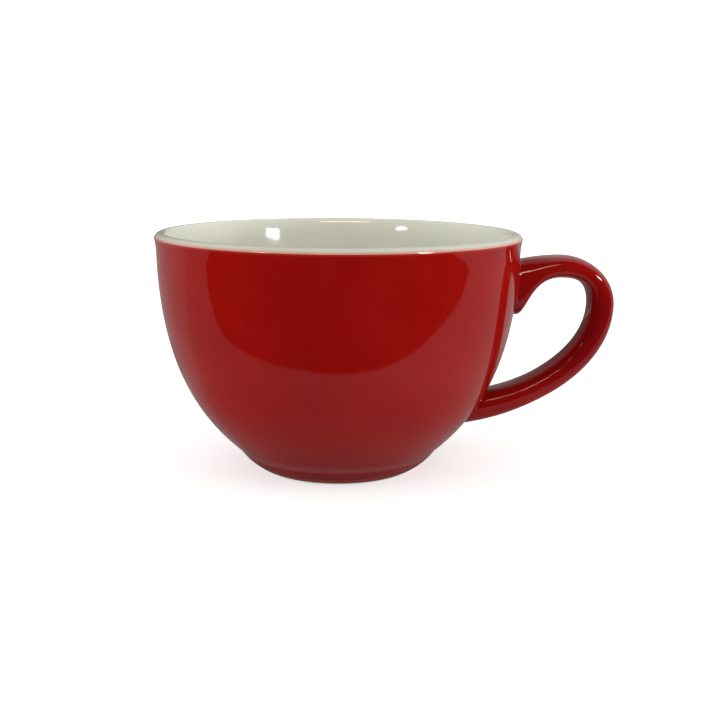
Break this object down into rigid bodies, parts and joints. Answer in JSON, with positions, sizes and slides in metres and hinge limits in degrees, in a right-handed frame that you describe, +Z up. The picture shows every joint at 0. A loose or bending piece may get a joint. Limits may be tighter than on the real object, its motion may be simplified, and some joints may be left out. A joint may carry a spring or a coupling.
{
  "type": "latte cup",
  "caption": "Round-bellied ceramic latte cup on a low foot ring, red glaze outside and off-white inside, with a looped side handle.",
  "frame": {"origin": "On the surface that the cup stands on, under the middle of the whole cup's box, handle included. The bowl's own axis is at x = -13.90 mm.", "axes": "+X towards the handle, the longest way. +Z up, the shortest way. +Y away from the picture's camera, so the handle is on the right from the front."},
  "size_m": [0.1338, 0.106, 0.0695],
  "materials": {
    "clay": "matt fired stoneware, bare only under the foot",
    "slip": "matt fired slip, hidden in the joint",
    "white_glaze": "glossy off-white glaze",
    "red_glaze": "glossy deep red glaze"
  },
  "bodies": {
    "root": {"bowl": "clay", "handle": "clay", "upper_slip_joint": "slip", "lower_slip_joint": "slip", "liner_glaze": "white_glaze", "outer_glaze": "red_glaze", "handle_glaze": "red_glaze", "base_glaze": "red_glaze"}
  },
  "joints": []
}
